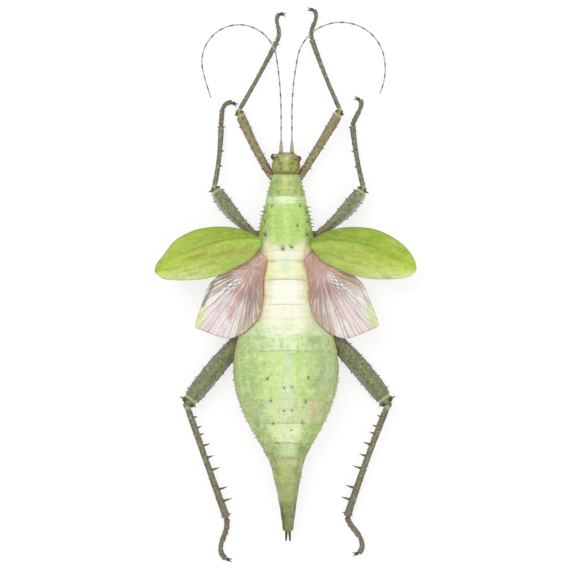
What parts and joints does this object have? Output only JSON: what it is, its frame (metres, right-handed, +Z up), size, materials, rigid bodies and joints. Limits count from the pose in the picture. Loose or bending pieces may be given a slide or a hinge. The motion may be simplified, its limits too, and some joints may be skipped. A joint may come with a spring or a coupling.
{
  "type": "stick insect",
  "caption": "Dried and spread jungle nymph stick insect, lying on its belly with its short wings opened above six spiny legs.",
  "frame": {"origin": "middle of the whole spread, feelers and feet included, on the surface that the insect lies on", "axes": "+Z up through the insect's back, +Y from the tail to the head, +X to the insect's own right side"},
  "size_m": [0.1042, 0.2218, 0.0195],
  "materials": {
    "thorax_shell": "satin, finely grained",
    "pale_shell": "satin",
    "abdomen_shell": "satin, finely grained",
    "tail_shell": "satin",
    "head_shell": "satin, grained",
    "eye": "glossy",
    "mouthparts": "satin",
    "feeler": "matte",
    "thigh": "matte, grained",
    "shin": "matte",
    "claw": "glossy",
    "forewing": "satin, finely veined",
    "hindwing": "silky, thin"
  },
  "bodies": {
    "root": {"pronotum": "thorax_shell", "mesothorax": "thorax_shell", "metathorax": "pale_shell", "abdomen_2": "pale_shell", "abdomen_3": "abdomen_shell", "abdomen_4": "abdomen_shell", "abdomen_5": "abdomen_shell", "abdomen_6": "abdomen_shell", "abdomen_7": "abdomen_shell", "abdomen_8": "abdomen_shell", "abdomen_9": "tail_shell", "epiproct": "tail_shell", "operculum": "tail_shell", "valve_left": "claw", "valve_right": "claw", "head": "head_shell", "mouthparts": "mouthparts", "eye_left": "eye", "antenna_left_1": "feeler", "antenna_left_2": "feeler", "antenna_left_3": "feeler", "forewing_left": "forewing", "hindwing_left": "hindwing", "eye_right": "eye", "antenna_right_1": "feeler", "antenna_right_2": "feeler", "antenna_right_3": "feeler", "forewing_right": "forewing", "hindwing_right": "hindwing", "coxa_front_left": "thigh", "femur_front_left": "thigh", "tibia_front_left": "shin", "tarsus_front_left": "shin", "claws_front_left": "claw", "coxa_front_right": "thigh", "femur_front_right": "thigh", "tibia_front_right": "shin", "tarsus_front_right": "shin", "claws_front_right": "claw", "coxa_middle_left": "thigh", "femur_middle_left": "thigh", "tibia_middle_left": "shin", "tarsus_middle_left": "shin", "claws_middle_left": "claw", "coxa_middle_right": "thigh", "femur_middle_right": "thigh", "tibia_middle_right": "shin", "tarsus_middle_right": "shin", "claws_middle_right": "claw", "coxa_hind_left": "thigh", "femur_hind_left": "thigh", "tibia_hind_left": "shin", "tarsus_hind_left": "shin", "claws_hind_left": "claw", "coxa_hind_right": "thigh", "femur_hind_right": "thigh", "tibia_hind_right": "shin", "tarsus_hind_right": "shin", "claws_hind_right": "claw"}
  },
  "joints": []
}
